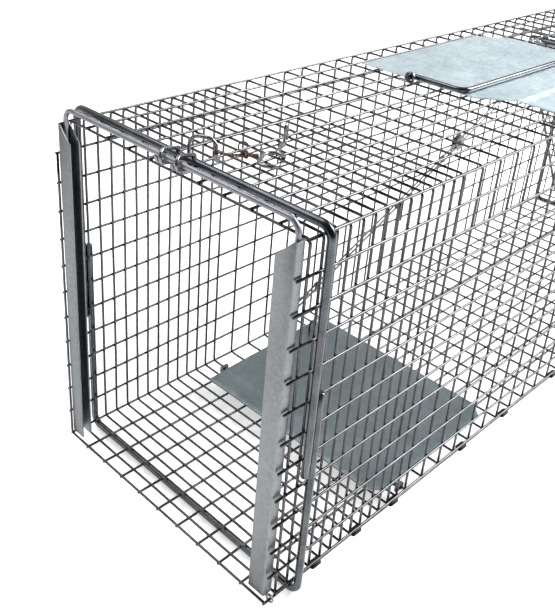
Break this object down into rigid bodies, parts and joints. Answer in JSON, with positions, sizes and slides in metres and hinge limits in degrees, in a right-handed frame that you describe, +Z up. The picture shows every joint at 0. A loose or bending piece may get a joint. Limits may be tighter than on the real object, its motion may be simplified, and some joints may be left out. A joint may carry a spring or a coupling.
{
  "type": "live catch trap",
  "caption": "Welded wire live catch trap with a slanted entrance door, treadle and trip rods, a channelled release end and a folding carrying handle.",
  "frame": {"origin": "middle of the footprint, on the surface the trap rests on", "axes": "+X along the cage from the release end to the entrance, +Y to the left wall with the trip rods, +Z up"},
  "size_m": [0.9166, 0.2732, 0.3353],
  "materials": {
    "mesh_wire": "galvanised wire, bright along the top, grey below",
    "hoop_zinc": "glossy zinc-plated rod",
    "dull_zinc": "matte lavender-grey zinc",
    "channel_sheet": "galvanised sheet, fine spangle",
    "guard_sheet": "pale blue-white galvanised sheet",
    "treadle_sheet": "blue-grey galvanised sheet, satin",
    "thin_rod": "galvanised rod",
    "dark_steel": "dark oiled steel",
    "tie_brass": "thin twisted tie wire, tarnished"
  },
  "bodies": {
    "cage": {"cage_roof": "mesh_wire", "cage_floor": "mesh_wire", "cage_left_wall": "mesh_wire", "cage_right_wall": "mesh_wire", "release_upper_hoop": "hoop_zinc", "release_lower_hoop": "hoop_zinc", "entrance_upper_hoop": "hoop_zinc", "entrance_lower_hoop": "hoop_zinc", "handle_eyes": "hoop_zinc", "latch_coils": "hoop_zinc", "latch_arch": "hoop_zinc", "guide_hoop": "dull_zinc", "corner_tie": "dull_zinc", "plate_ties": "dull_zinc", "left_channel": "channel_sheet", "right_channel": "channel_sheet", "axle_clips": "channel_sheet", "rod_pivot_stud": "channel_sheet", "guard_plate": "guard_sheet", "treadle_axle": "thin_rod", "door_hinge_rod": "thin_rod", "seam_clips": "dark_steel", "tie_wire": "tie_brass"},
    "handle": {"handle_bail": "hoop_zinc"},
    "treadle": {"treadle_plate": "treadle_sheet", "treadle_eye": "thin_rod"},
    "trip": {"trip_rods": "thin_rod", "rod_bindings": "thin_rod", "rod_pivot_tab": "channel_sheet", "rod_counterweight": "dark_steel"},
    "door": {"door_frame": "thin_rod", "door_mesh": "mesh_wire", "door_hinge_straps": "channel_sheet"},
    "snap": {"snap_hook": "hoop_zinc"},
    "gate": {"snap_gate": "hoop_zinc"}
  },
  "joints": [
    {"name": "handle_fold", "type": "hinge", "parent": "cage", "child": "handle", "pos_m": [0, 0.02794, 0.32167], "axis": [-1, 0, 0], "range_deg": [0, 180]},
    {"name": "treadle_tilt", "type": "hinge", "parent": "cage", "child": "treadle", "pos_m": [-0.28448, 0, 0.01427], "axis": [0, -1, 0], "range_deg": [0, 7]},
    {"name": "trip_rod_swing", "type": "hinge", "parent": "cage", "child": "trip", "pos_m": [0.13537, 0.12192, 0.1657], "axis": [0, -1, 0], "range_deg": [-2.95, 0]},
    {"name": "door_swing", "type": "hinge", "parent": "cage", "child": "door", "pos_m": [0.2413, 0, 0.29894], "axis": [0, -1, 0], "range_deg": [0, 54]},
    {"name": "snap_swivel", "type": "hinge", "parent": "cage", "child": "snap", "pos_m": [-0.3861, -0.02072, 0.31807], "axis": [0, 0, 1], "range_deg": [-15, 15]},
    {"name": "snap_gate_swing", "type": "hinge", "parent": "snap", "child": "gate", "pos_m": [-0.37549, -0.03656, 0.31807], "axis": [0, 0, -1], "range_deg": [0, 25], "stiffness_Nm_per_rad": 0.01}
  ],
  "couplings": [
    {"joint": "trip_rod_swing", "follows": "treadle_tilt", "ratio": -0.4147}
  ]
}
